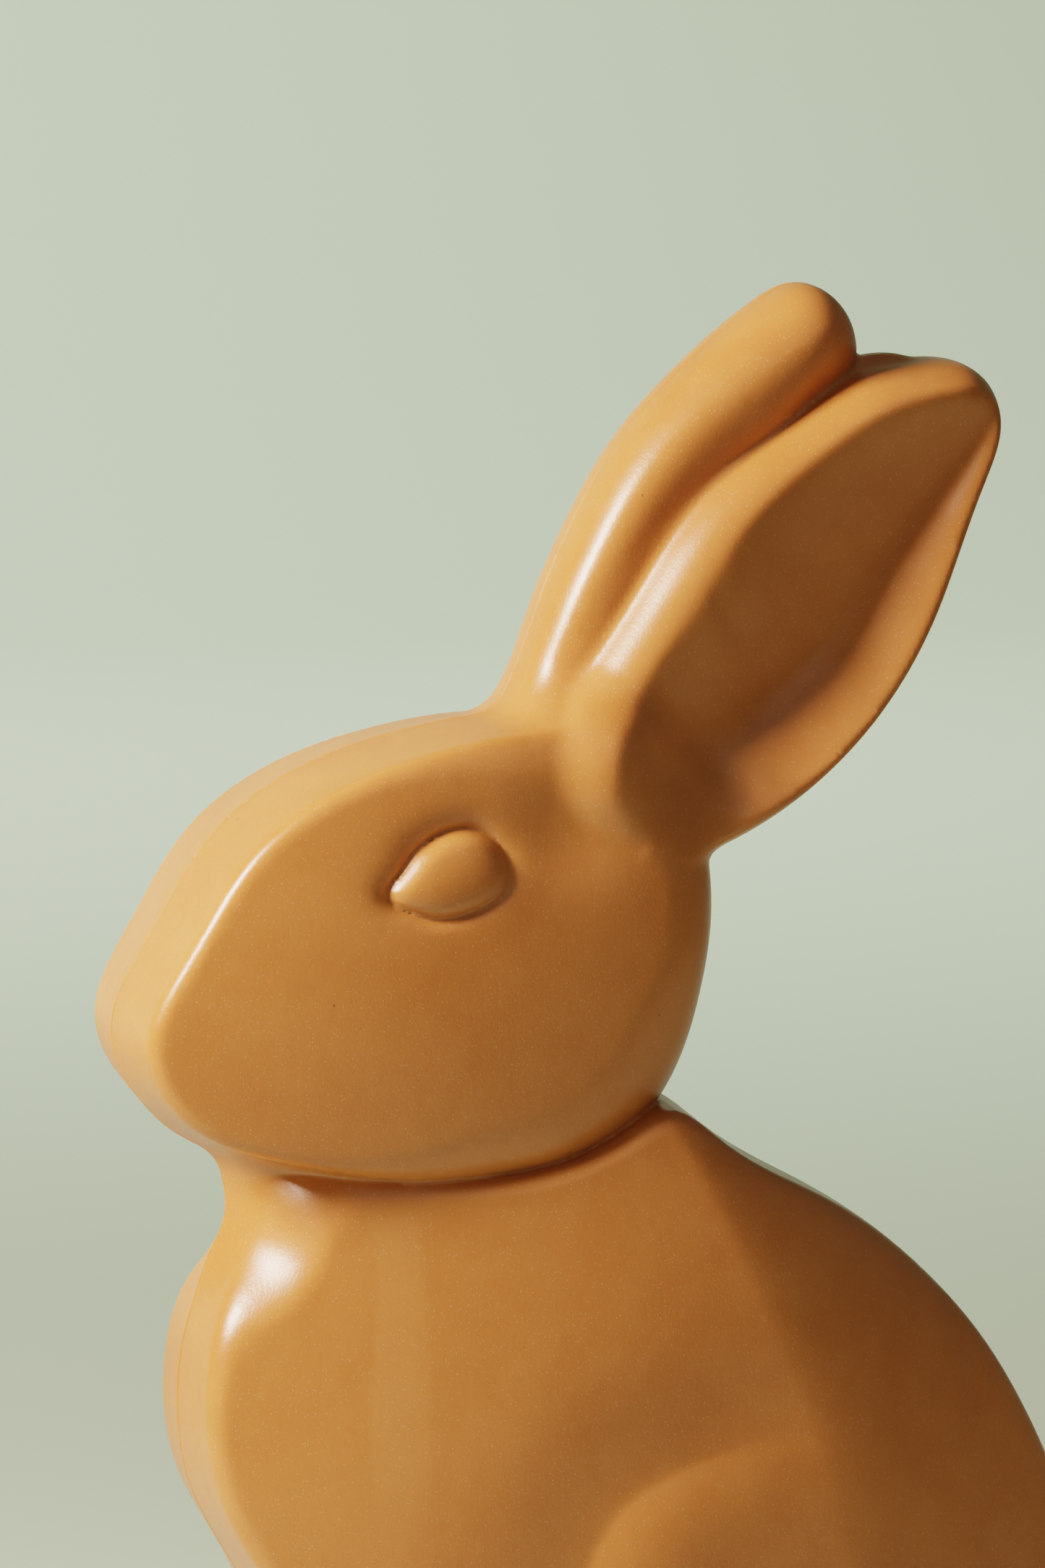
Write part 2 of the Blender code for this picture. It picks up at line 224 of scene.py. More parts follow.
# Feet, tail and neck, and how softly the parts run into each other
FOOT_TOP = 13.2
PAW_TOP = 12.2
FOOT_EDGE = 2.4
FOOT_BLEND = 2.0
TAIL_AT = (42.2, 0.0, 14.5)
TAIL_RADII = (6.9, 6.8, 7.4)
TAIL_BLEND = 2.4
NECK_TOP = 5.6
NECK_RISE = 2.9
NECK_RISE_X = (-37.5, -30.0)
NECK_EDGE = (2.0, 3.0)
NECK_DRAFT = 0.5
NECK_BLEND = 2.6
CREASE_BLEND = 0.5
EAR_BLEND = 1.2
EAR_BLEND_LOW = 4.6
EAR_BLEND_Z = (98.0, 106.0)
EAR_ROOT = ((-5.5, 109.5), (6.0, 5.0))
EAR_ROOT_BLEND = 5.0
BASE_LIP = 0.5

# Finding the surface: a small step for slopes, the least slope, the longest move, how far points even out,
# and the least values that are divided by
NUDGE = 0.02
LEAST_SLOPE = 0.05
LONGEST_MOVE = 1.0
EVEN_SHARE = 0.5
TINY = 1e-6
LEAST_GRADE = 1e-9


def closed_spline(points, count):
    """Even steps along a smooth closed curve through the points."""
    p = np.array(points, float)
    n = len(p)
    chord = np.hypot(*(np.roll(p, -1, 0) - p).T)
    a = np.zeros((n, n))
    b = np.zeros((n, 2))
    for i in range(n):
        before, after = chord[i - 1], chord[i]
        a[i, i - 1] += after
        a[i, i] += 2 * (before + after)
        a[i, (i + 1) % n] += before
        b[i] = 3 * (after * (p[i] - p[i - 1]) / before + before * (p[(i + 1) % n] - p[i]) / after)
    slope = np.linalg.solve(a, b)
    start = np.concatenate([[0], np.cumsum(chord)])
    s = np.linspace(0, start[-1], count, endpoint=False)
    i = np.clip(np.searchsorted(start, s, side="right") - 1, 0, n - 1)
    j = (i + 1) % n
    h = chord[i][:, None]
    u = (s - start[i])[:, None] / h
    return (
        (2 * u**3 - 3 * u**2 + 1) * p[i] + (u**3 - 2 * u**2 + u) * h * slope[i]
        + (3 * u**2 - 2 * u**3) * p[j] + (u**3 - u**2) * h * slope[j]
    )


gx = np.arange(X_RANGE[0], X_RANGE[1] + STEP / 2, STEP)
gz = np.arange(Z_RANGE[0], Z_RANGE[1] + STEP / 2, STEP)
GX, GZ = np.meshgrid(gx, gz, indexing="ij")


def nearest(line, closed):
    """Distance to a line of points at every grid point, with the nearest segment and the place along it."""
    ends = np.roll(line, -1, 0) if closed else line[1:]
    starts = line if closed else line[:-1]
    best = np.full(GX.shape, np.inf)
    where = np.zeros(GX.shape)
    for k, (a, b) in enumerate(zip(starts, ends)):
        dx, dz = b - a
        t = np.clip(((GX - a[0]) * dx + (GZ - a[1]) * dz) / (dx * dx + dz * dz), 0, 1)
        d = (GX - a[0] - t * dx) ** 2 + (GZ - a[1] - t * dz) ** 2
        closer = d < best
        best[closer] = d[closer]
        where[closer] = (k + t)[closer]
    return np.sqrt(best), where


def inside(line):
    """Which grid points lie inside a closed line."""
    odd = np.zeros(GX.shape, bool)
    for a, b in zip(line, np.roll(line, -1, 0)):
        if a[1] == b[1]:
            continue
        spans = (a[1] > GZ) != (b[1] > GZ)
        cross = a[0] + (GZ - a[1]) * (b[0] - a[0]) / (b[1] - a[1])
        odd ^= spans & (GX < cross)
    return odd


def distance_field(points, count=OUTLINE_POINTS):
    """Distance to a smooth outline over the grid, less than 0 inside it."""
    line = closed_spline(points, count)
    d, _ = nearest(line, True)
    return np.where(inside(line), -d, d)


def blur(field, sigma):
    """A field smoothed over sigma millimetres."""
    reach = int(math.ceil(3 * sigma / STEP))
    k = np.exp(-0.5 * (np.arange(-reach, reach + 1) * STEP / sigma) ** 2)
    k /= k.sum()
    for axis in (0, 1):
        pad = [(0, 0), (0, 0)]
        pad[axis] = (reach, reach)
        wide = np.pad(field, pad, mode="edge")
        n = field.shape[axis]
        field = sum(w * np.take(wide, np.arange(i, i + n), axis=axis) for i, w in enumerate(k))
    return field


def ramp(v, low, high):
    """From 0 at low to 1 at high, smoothly."""
    t = np.clip((v - low) / (high - low), 0, 1)
    return t * t * (3 - 2 * t)


def fall(v, low, high):
    """From 1 at low to 0 at high, smoothly."""
    return ramp(-v, -high, -low)


def area(x, z, at, reach):
    """1 at a place, falling off smoothly over a reach in x and z."""
    return np.exp(-((x - at[0]) / reach[0]) ** 2 - ((z - at[1]) / reach[1]) ** 2)


def open_spline(points, splits):
    """Points along a smooth curve through the given ones, so many to each span."""
    line = np.array(points, float)
    last = len(line) - 1
    fine = []
    for i in range(last):
        p0, p1, p2, p3 = (line[min(max(i + k, 0), last)] for k in (-1, 0, 1, 2))
        square = 2 * p0 - 5 * p1 + 4 * p2 - p3
        cube = 3 * p1 - p0 - 3 * p2 + p3
        for t in np.linspace(0, 1, splits, endpoint=False):
            fine.append(0.5 * (2 * p1 + (p2 - p0) * t + square * t**2 + cube * t**3))
    fine.append(line[-1])
    return np.array(fine)


def scoop_fields():
    """Over the grid: the scoop's height, a soft V along the crease, and the distance right of the crease."""
    line = open_spline(CREASE, CREASE_SPLITS)
    d, where = nearest(line, False)
    k = np.minimum(where.astype(int), len(line) - 2)
    along = line[k + 1] - line[k]
    side = along[..., 0] * (GZ - line[k][..., 1]) - along[..., 1] * (GX - line[k][..., 0])
    station = where / CREASE_SPLITS
    given = np.arange(len(CREASE))
    floor, left, right = (np.interp(station, given, v) for v in (CREASE_FLOOR, LEFT_SLOPES, RIGHT_SLOPES))
    soft = np.interp(station, *CREASE_SOFT)
    slope = blur(np.where(side > 0, right, left), SLOPE_BLUR)
    height = floor + slope * (np.sqrt(d * d + soft * soft) - soft)
    return blur(height, SCOOP_BLUR), blur(np.where(side > 0, d, -d), SLOPE_BLUR)


scoop, right_of_crease = scoop_fields()
fields = {
    "head": distance_field(HEAD),
    "body": distance_field(BODY, LONG_OUTLINE_POINTS),
    "front": distance_field(FRONT_EAR),
    "rear": distance_field(REAR_EAR),
    "web": distance_field(WEB),
    "neck": distance_field(NECK),
    "thigh": distance_field(THIGH),
    "eye": distance_field(EYE, SMALL_OUTLINE_POINTS),
    "foot": distance_field(FOOT, SMALL_OUTLINE_POINTS),
    "paw": distance_field(PAW, SMALL_OUTLINE_POINTS),
    "scoop": scoop,
    "right": right_of_crease,
}
for outline, sigma in SOFTENING.items():
    fields[outline + " soft"] = blur(fields[outline], sigma)


def cubic(t):
    """Weights of four points in a row for a smooth reading between the middle two."""
    return (
        -0.5 * t + t * t - 0.5 * t**3, 1 - 2.5 * t * t + 1.5 * t**3,
        0.5 * t + 2 * t * t - 1.5 * t**3, -0.5 * t * t + 0.5 * t**3,
    )


class Place:
    """Reads the grid's fields at any points, or at the grid's own."""

    def __init__(self, x=None, z=None):
        self.x, self.z = x, z
        if x is None:
            self.x, self.z = GX[:, None, :], GZ[:, None, :]
            return
        u = np.clip((x - gx[0]) / STEP, 1, len(gx) - 3)
        w = np.clip((z - gz[0]) / STEP, 1, len(gz) - 3)
        i, k = u.astype(int), w.astype(int)
        self.base = i * len(gz) + k
        self.wx, self.wz = cubic(u - i), cubic(w - k)

    def read(self, name):
        """A field's values there."""
        field = fields[name]
        if self.x.ndim == 3:
            return field[:, None, :]
        flat = field.ravel()
        total = 0.0
        for a in range(4):
            row = 0.0
            for b in range(4):
                row = row + self.wz[b] * flat[self.base + (a - 1) * len(gz) + b - 1]
            total = total + self.wx[a] * row
        return total


def soft_min(a, b, k):
    """Join two surfaces with a fillet of about k."""
    h = np.maximum(k - np.abs(a - b), 0.0) / k
    return np.minimum(a, b) - h * h * k * 0.25


def soft_max(a, b, k):
    """Keep what two surfaces share, the edge between them softened over about k."""
    return -soft_min(-a, -b, k)


def rounded(a, b, r):
    """Where two surfaces meet in an edge, round it to the radius r."""
    return np.minimum(-r, np.maximum(a, b)) + np.hypot(np.maximum(a + r, 0), np.maximum(b + r, 0))


def wall(d, y, draft=DRAFT):
    """Distance to a wall that leans in from its outline."""
    return (d + draft * y) / math.hypot(1, draft)


def plate(d, y, top, wide, deep, draft=DRAFT, power=2.0):
    """A drafted plate, its edge rounded over a width of the face and a depth of the wall."""
    u = np.maximum(1 + wall(d, y, draft) / wide, 0)
    v = np.maximum(1 + (y - top) / deep, 0)
    q = (u**power + v**power) ** (1 / power)
    safe = np.maximum(q, TINY)
    grade = np.hypot((u / safe) ** (power - 1) / wide, (v / safe) ** (power - 1) / deep)
    return np.where(q < TINY, -np.minimum(wide, deep), (q - 1) / np.maximum(grade, LEAST_GRADE))


def bulge(d, y, wide, high, power):
    """A rounded form that rises from its outline to a height, over a width."""
    a = np.maximum(1.0 + d / wide, 0.0)
    b = y / high
    return ((a**power + b**power) ** (1.0 / power) - 1.0) * np.minimum(wide, high)


def crown(x, z, at, reach, rise):
    """A shallow dome, at the face's own height at its reach."""
    q = ((x - at[0]) / reach[0]) ** 2 + ((z - at[1]) / reach[1]) ** 2
    return rise * (1 - q)


def swell(d, wide, power):
    """From 0 at an outline to 1 at a width inside it, steep first and level at the end."""
    return 1 - (1 - np.clip(-d / wide, 0, 1)) ** power


def edge(*shares):
    """Add up an edge's rounding, over the face and down the wall, from sizes and the share of each."""
    return [sum(size[k] * share for size, share in shares) for k in (0, 1)]


def eye_relief(place):
    """Height added to the head's face: an egg-shaped dome in a moat that is deepest above it."""
    x, z, d, soft = place.x, place.z, place.read("eye"), place.read("eye soft")
    across = (z - EYE_MIDDLE[1]) * EYE_ACROSS[1] - (x - EYE_MIDDLE[0]) * EYE_ACROSS[0]
    upper = np.clip(across / EYE_HALF, -1, 1)
    depth = MOAT_DEPTH + MOAT_DEEPER_ABOVE * upper - MOAT_SHALLOWER_RIGHT * ramp(x, *EYE_RIGHT)
    flank = swell(EYE_SHARP * d + (1 - EYE_SHARP) * soft, FLANK_WIDE, FLANK_POWER)
    dome = EYE_DOME * swell(soft, EYE_DOME_WIDE, 2)
    moat = np.exp(-np.maximum(d, 0) / (MOAT_REACH + MOAT_WIDER_ABOVE * upper))
    return depth * flank + dome - depth * moat


def head_part(place, y):
    """The head, softer at the cheek, under the jaw, at the nape and at the brow."""
    x, z = place.x, place.z
    cheek = ramp(x, *CHEEK_X)
    jaw = fall(z, *JAW_Z)
    chin = jaw * ramp(x, *CHIN_X)
    nape, brow = area(x, z, *NAPE), area(x, z, *BROW)
    top = HALF + crown(x, z, *HEAD_DOME)
    top = top - TEMPLE_DEPTH * area(x, z, *TEMPLE) + eye_relief(place)
    wide, deep = edge(
        (HEAD_EDGE, 1.0), (CHEEK_EDGE, cheek), (JAW_EDGE, jaw * cheek),
        (CHIN_EDGE, chin), (NAPE_EDGE, nape), (BROW_EDGE, brow),
    )
    return plate(place.read("head"), y, top, wide, deep, power=2.0 + CHEEK_POWER * cheek)


def haunch(x, thigh):
    """Height added to the body's face: a ditch round the haunch and the haunch's own rise."""
    ditch = DITCH_DEPTH * np.exp(-((np.maximum(thigh, 0) / DITCH_REACH) ** 2)) * fall(x, *DITCH_X)
    rise = THIGH_RISE + THIGH_RISE_FRONT * fall(x, *THIGH_RISE_X)
    return swell(thigh - THIGH_FROM, THIGH_WIDE, THIGH_POWER) * rise - ditch


def body_part(place, y):
    """The body, with a wide, soft edge along the back and a rounded corner at the chest."""
    x, z = place.x, place.z
    back, chest = ramp(x, *BACK_X), area(x, z, *CHEST)
    top = BODY_HALF + crown(x, z, *BODY_DOME) - BACK_FALL * np.maximum(x - BACK_FALL_FROM, 0.0) ** 2
    top = top + haunch(x, place.read("thigh"))
    wide, deep = edge((BODY_EDGE, 1.0), (BACK_EDGE, back), (CHEST_EDGE, chest))
    deep = np.minimum(deep, np.maximum(top - LEAST_WALL, LEAST_DEEP))
    return plate(place.read("body") + CHEST_CUT * chest, y, top, wide, deep, power=2.0 + BACK_POWER * back)


def front_ear(place, y):
    """The front ear: rounded, and wider where it runs into the valley."""
    valley = ramp(-place.read("rear"), *VALLEY)
    spread = VALLEY_SPREAD * valley * fall(place.x, *VALLEY_X)
    wide = FRONT_WIDE + FRONT_WIDER_IN_VALLEY * valley
    ear = bulge(place.read("front soft") - spread, y, wide, FRONT_HIGH, FRONT_POWER)
    return rounded(wall(place.read("front") - spread, y), ear, EAR_LIP)


def rear_ear(place, y):
    """The rear ear: rounded, with the scoop cut out of it."""
    right = ramp(place.read("right"), *REAR_SIDE)
    high = REAR_HIGH - REAR_LOWER_RIGHT * right * ramp(place.z, *REAR_LOWER_Z)
    ear = bulge(place.read("rear soft"), y, REAR_WIDE - REAR_NARROWER_RIGHT * right, high, REAR_POWER)
    ear = rounded(wall(place.read("rear"), y), ear, EAR_LIP + REAR_LIP_RIGHT * right)
    return soft_max(ear, (y - place.read("scoop")) * SCOOP_LEAN, SCOOP_SOFT)


def ears_part(place, y):
    """Both ears and the web between them."""
    web_top = WEB_TOP - WEB_FALL * ramp(place.x, *WEB_FALL_X)
    web = plate(place.read("web"), y, web_top, WEB_EDGE, WEB_EDGE)
    return soft_min(soft_min(front_ear(place, y), rear_ear(place, y), EARS_BLEND), web, WEB_BLEND)


def lower_part(place, y):
    """The body with its foot, paw and tail."""
    body = body_part(place, y)
    for name, top in (("foot", FOOT_TOP), ("paw", PAW_TOP)):
        body = soft_min(body, plate(place.read(name), y, top, FOOT_EDGE, FOOT_EDGE), FOOT_BLEND)
    tail = np.sqrt(sum(((v - c) / r) ** 2 for v, c, r in zip((place.x, y, place.z), TAIL_AT, TAIL_RADII)))
    return soft_min(body, (tail - 1.0) * TAIL_RADII[0], TAIL_BLEND)


def surface(place, y):
    """Less than 0 inside the rabbit, in millimetres near the surface."""
    x, z, y = place.x, place.z, np.abs(y)
    neck_top = NECK_TOP + NECK_RISE * ramp(x, *NECK_RISE_X)
    neck = plate(place.read("neck"), y, neck_top, *NECK_EDGE, draft=NECK_DRAFT)
    whole = soft_min(head_part(place, y), lower_part(place, y), CREASE_BLEND)
    whole = soft_min(whole, neck, NECK_BLEND)
    blend = EAR_BLEND + EAR_BLEND_LOW * ramp(z, *EAR_BLEND_Z) + EAR_ROOT_BLEND * area(x, z, *EAR_ROOT)
    whole = soft_min(whole, ears_part(place, y), blend)
    return rounded(whole, -z, BASE_LIP)


def grid_values():
    """The surface's values on the whole grid, and the grid's lowest y."""
    y = np.arange(STEP / 2, Y_REACH, STEP)
    half = surface(Place(), y[None, :, None])
    return np.concatenate([half[:, ::-1], half], 1), -Y_REACH + STEP / 2


def crossings(f):
    """For each axis: the grid edges that cross the surface, how far along, and which lead outwards."""
    found = []
    for axis in range(3):
        n = f.shape[axis]
        a = np.take(f, np.arange(n - 1), axis)
        b = np.take(f, np.arange(1, n), axis)
        at = np.argwhere((a < 0) != (b < 0))
        va, vb = a[tuple(at.T)], b[tuple(at.T)]
        found.append((axis, at, va / (va - vb), va < 0))
    return found


def cells_round(at, axis):
    """The four cells round each grid edge along the axis, in order."""
    a, b = (k for k in range(3) if k != axis)
    ring = []
    for da, db in ((0, 0), (-1, 0), (-1, -1), (0, -1)):
        cell = at.copy()
        cell[:, a] += da
        cell[:, b] += db
        ring.append(cell)
    return ring


def cell_points(found, shape):
    """The mean crossing of each cell that the surface crosses, and each cell's number."""
    total = np.zeros(shape + (3,))
    count = np.zeros(shape)
    for axis, at, along, _ in found:
        point = at.astype(float)
        point[:, axis] += along
        for cell in cells_round(at, axis):
            ok = np.all((cell >= 0) & (cell < shape), 1)
            index = tuple(cell[ok].T)
            np.add.at(total, index, point[ok])
            np.add.at(count, index, 1)
    used = count > 0
    number = np.full(shape, -1)
    number[used] = np.arange(used.sum())
    return total[used] / count[used][:, None], number


def cell_faces(found, number):
    """Four-sided faces between the cells' points, facing out."""
    faces = []
    for axis, at, _, leaving in found:
        ring = np.stack([number[tuple(cell.T)] for cell in cells_round(at, axis)], 1)
        flip = leaving if axis != 1 else ~leaving
        ring[flip] = ring[flip][:, ::-1]
        faces.append(ring)
    return np.concatenate(faces)


def value(p):
    """The surface's values at any points."""
    return surface(Place(p[:, 0], p[:, 2]), p[:, 1])


def draw_on(points, rounds):
    """Move points along the slope onto the exact surface."""
    for _ in range(rounds):
        f = value(points)
        slope = np.stack([value(points + NUDGE * e) - value(points - NUDGE * e) for e in np.eye(3)], 1)
        slope /= 2 * NUDGE
        move = f / np.maximum((slope**2).sum(1), LEAST_SLOPE)
        points = points - slope * move[:, None].clip(-LONGEST_MOVE, LONGEST_MOVE)
    return points


def even_out(points, faces, rounds):
    """Spread the points evenly over the surface, keeping the seam's in its plane."""
    pairs = np.concatenate([faces[:, [0, 1]], faces[:, [1, 2]], faces[:, [2, 3]], faces[:, [3, 0]]])
    pairs = np.concatenate([pairs, pairs[:, ::-1]])
    near = np.bincount(pairs[:, 0], minlength=len(points))
    seam = np.abs(points[:, 1]) < TINY
    for _ in range(rounds):
        total = np.stack([np.bincount(pairs[:, 0], points[pairs[:, 1], k], len(points)) for k in range(3)], 1)
        points = points + EVEN_SHARE * (total / near[:, None] - points)
        points[seam, 1] = 0.0
        points = draw_on(points, rounds=1)
    return points


def mesh_object(name, points, faces):
    """A smooth-shaded object in metres from points in millimetres and four-sided faces."""
    mesh = bpy.data.meshes.new(name)
    mesh.vertices.add(len(points))
    mesh.vertices.foreach_set("co", (points * MM).ravel())
    mesh.loops.add(faces.size)
    mesh.loops.foreach_set("vertex_index", faces.ravel().astype(np.int32))
    mesh.polygons.add(len(faces))
    mesh.polygons.foreach_set("loop_start", np.arange(0, faces.size, 4, dtype=np.int32))
    mesh.update(calc_edges=True)
    mesh.validate()
    mesh.shade_smooth()
    thing = bpy.data.objects.new(name, mesh)
    bpy.context.scene.collection.objects.link(thing)
    return thing


def rabbit_mesh():
    """Points in millimetres on the rabbit's surface, evenly spread, and the faces between them."""
    f, y_low = grid_values()
    found = crossings(f)
    points, number = cell_points(found, tuple(n - 1 for n in f.shape))
    faces = cell_faces(found, number)
    points = draw_on(points * STEP + np.array([gx[0], y_low, gz[0]]), rounds=2)
    points = even_out(points, faces, rounds=3)
    points = draw_on(points, rounds=2)
    points[:, 2] = np.maximum(points[:, 2], 0.0)
    return points, faces


def refine(thing):
    """Split the faces once where the eye and the crease under the head need it."""
    bm = bmesh.new()
    bm.from_mesh(thing.data)
    bm.verts.ensure_lookup_table()
    points = np.array([v.co for v in bm.verts]) / MM
    place = Place(points[:, 0], points[:, 2])
    near_eye = np.abs(place.read("eye")) < EYE_FINE
    near_crease = (np.abs(place.read("head")) < CREASE_FINE) & (points[:, 2] < CREASE_TOP)
    fine = (near_eye | near_crease) & (np.abs(points[:, 1]) > FACE_FROM)
    edges = [e for e in bm.edges if all(fine[v.index] for v in e.verts)]
    bmesh.ops.subdivide_edges(bm, edges=edges, cuts=1, use_grid_fill=True)
    bm.verts.ensure_lookup_table()
    drawn = draw_on(np.array([v.co for v in bm.verts])[len(points):] / MM, rounds=3) * MM
    for v, moved in zip(list(bm.verts)[len(points):], drawn):
        v.co = moved
    bm.to_mesh(thing.data)
    bm.free()


def mould_line(thing):
    """Raise a fine ridge where the two halves of the mould met."""
    bm = bmesh.new()
    bm.from_mesh(thing.data)
    for y in (-SEAM_FOOT, -SEAM_TOP, SEAM_TOP, SEAM_FOOT):
        near = [f for f in bm.faces if min(abs(v.co.y) for v in f.verts) < 2 * STEP * MM]
        rim = {e for f in near for e in f.edges} | {v for f in near for v in f.verts}
        bmesh.ops.bisect_plane(
            bm, geom=near + list(rim), dist=SEAM_MERGE, plane_co=(0, y, 0), plane_no=(0, 1, 0),
        )
    bm.normal_update()
    for v in bm.verts:
        out = Vector((v.normal.x, 0, v.normal.z))
        if abs(v.co.y) < SEAM_TOP * 1.1 and v.co.z > 2 * SEAM_RISE:
            v.co += out.normalized() * SEAM_RISE
    bm.to_mesh(thing.data)
    bm.free()
    thing.data.shade_smooth()


rabbit = mesh_object("rabbit_chocolate", *rabbit_mesh())
refine(rabbit)
mould_line(rabbit)


# A mix node's colour sockets, which share their names with its other ones
MIX_FIRST = 6
MIX_SECOND = 7
MIX_RESULT = 2


class Nodes:
    """Short names for adding and joining a material's nodes."""

    def __init__(self, tree):
        self.tree = tree

    def put(self, socket, v):
        """Join a socket to another, or set its value."""
        if isinstance(v, bpy.types.NodeSocket):
            self.tree.links.new(v, socket)
        else:
            socket.default_value = v

    def calc(self, operation, a, b):
        made = self.tree.nodes.new("ShaderNodeMath")
        made.operation = operation
        self.put(made.inputs[0], a)
        self.put(made.inputs[1], b)
        return made.outputs[0]

    def times(self, a, b):
        return self.calc("MULTIPLY", a, b)

    def plus(self, a, b):
        return self.calc("ADD", a, b)

    def noise(self, at, scale, detail=2.0, rough=0.5, warp=0.0):
        made = self.tree.nodes.new("ShaderNodeTexNoise")
        self.put(made.inputs["Vector"], at)
        for name, v in (("Scale", scale), ("Detail", detail), ("Roughness", rough), ("Distortion", warp)):
            made.inputs[name].default_value = v
        return made.outputs["Fac"]

    def spots(self, at, scale, share, core, rim):
        """Round specks: one in some of the cells, fading between two radii."""
        made = self.tree.nodes.new("ShaderNodeTexVoronoi")
        self.put(made.inputs["Vector"], at)
        made.inputs["Scale"].default_value = scale
        pick = self.tree.nodes.new("ShaderNodeSeparateColor")
        self.put(pick.inputs[0], made.outputs["Color"])
        chosen = self.calc("LESS_THAN", pick.outputs[0], share)
        return self.times(chosen, self.fade(made.outputs["Distance"], rim, core))

    def fade(self, v, none, full):
        """From 0 at one value to 1 at the other, whichever is larger."""
        made = self.tree.nodes.new("ShaderNodeMapRange")
        made.interpolation_type = "SMOOTHSTEP"
        self.put(made.inputs["Value"], v)
        made.inputs["From Min"].default_value = min(none, full)
        made.inputs["From Max"].default_value = max(none, full)
        made.inputs["To Min"].default_value = 0 if none < full else 1
        made.inputs["To Max"].default_value = 1 if none < full else 0
        return made.outputs["Result"]

    def blend(self, share, a, b):
        """Colour a turned into colour b by a share."""
        made = self.tree.nodes.new("ShaderNodeMix")
        made.data_type = "RGBA"
        self.put(made.inputs["Factor"], share)
        self.put(made.inputs[MIX_FIRST], a)
        self.put(made.inputs[MIX_SECOND], b)
        return made.outputs[MIX_RESULT]

    def split(self, at):
        made = self.tree.nodes.new("ShaderNodeSeparateXYZ")
        self.put(made.inputs[0], at)
        return made.outputs

    def stretch(self, at, scale):
        made = self.tree.nodes.new("ShaderNodeMapping")
        self.put(made.inputs["Vector"], at)
        made.inputs["Scale"].default_value = scale
        return made.outputs[0]

    def bump(self, height, depth, strength, normal=None):
        made = self.tree.nodes.new("ShaderNodeBump")
        made.inputs["Strength"].default_value = strength
        made.inputs["Distance"].default_value = depth
        self.put(made.inputs["Height"], height)
        if normal is not None:
            self.put(made.inputs["Normal"], normal)
        return made.outputs[0]


# Chocolate's colours
MILK = (0.50, 0.168, 0.046, 1.0)
PALE = (0.57, 0.212, 0.070, 1.0)
DEEP = (0.43, 0.130, 0.032, 1.0)
FLECK = (0.80, 0.62, 0.42, 1.0)
PINHOLE = (0.10, 0.035, 0.012, 1.0)

# Mottling: the weights of its three sizes, where it turns from deep to pale, and the share of plain milk
CLOUDY_SHARE = 0.55
PATCHY_SHARE = 0.25
GRAIN_SHARE = 0.20
MOTTLE = (0.36, 0.64)
PLAIN_SHARE = 0.62

# Wiped band, in metres: where it starts and is full in x, z and y, and how far its edge wanders
BAND_LEFT = (-0.0275, -0.0262)
BAND_RIGHT = (-0.0215, -0.0235)
BAND_FOOT = (0.036, 0.050)
BAND_HEAD = (0.0705, 0.066)
BAND_FACE = (-0.006, -0.009)
BAND_WANDER = 0.004
BAND_SHARE = 0.5
BAND_ROUGH = 0.05

# Specks: how strongly each kind shows, and how deep a pinhole is beside the grain
FLECK_SHARE = 0.2
PINHOLE_SHARE = 0.6
PINHOLE_DEPTH = 1.5

# Roughness: its least value and what patches and streaks add. It stays over 0.274 everywhere, because the
# denoiser draws an edge where it crosses that
ROUGH = 0.245
PATCHY_ROUGH = 0.07
STREAKY_ROUGH = 0.06

# Light inside the chocolate, and its index of refraction
IOR = 1.5
GLOW = 0.22
GLOW_REACH = (1.0, 0.42, 0.16)
GLOW_SCALE = 0.0016


def wiped_band(n, at, streaks):
    """Share of the pale band that was wiped down the near face."""
    x, y, z = n.split(at)
    across = n.plus(x, n.times(streaks, BAND_WANDER))
    band = n.times(n.fade(across, *BAND_LEFT), n.fade(across, *BAND_RIGHT))
    band = n.times(band, n.times(n.fade(z, *BAND_FOOT), n.fade(z, *BAND_HEAD)))
    return n.times(band, n.fade(y, *BAND_FACE))


def mottled(n, at, cloudy, patchy, grain, band, pinholes):
    """The chocolate's colour: mottled milk with the band, pale flecks and dark pinholes."""
    tone = n.plus(n.times(cloudy, CLOUDY_SHARE), n.times(patchy, PATCHY_SHARE))
    tone = n.plus(tone, n.times(grain, GRAIN_SHARE))
    colour = n.blend(n.fade(tone, *MOTTLE), DEEP, PALE)
    colour = n.blend(PLAIN_SHARE, colour, MILK)
    colour = n.blend(n.times(band, BAND_SHARE), colour, PALE)
    large = n.spots(at, scale=1900.0, share=0.12, core=0.08, rim=0.22)
    small = n.spots(at, scale=4200.0, share=0.20, core=0.14, rim=0.36)
    colour = n.blend(n.times(n.calc("MAXIMUM", large, small), FLECK_SHARE), colour, FLECK)
    return n.blend(n.times(pinholes, PINHOLE_SHARE), colour, PINHOLE)


def relief(n, at, cloudy, patchy, grain, pinholes):
    """The fine relief: an uneven surface, scored up and down, with grain and pinholes."""
    rough = n.plus(cloudy, n.times(patchy, PATCHY_SHARE))
    uneven = n.bump(rough, depth=0.0003, strength=0.35)
    scores = n.noise(n.stretch(at, (1.0, 1.0, 0.07)), scale=2600.0, detail=2.0, rough=0.6)
    scored = n.bump(scores, depth=0.00002, strength=0.25, normal=uneven)
    skin = n.calc("SUBTRACT", grain, n.times(pinholes, PINHOLE_DEPTH))
    return n.bump(skin, depth=0.00004, strength=0.45, normal=scored)


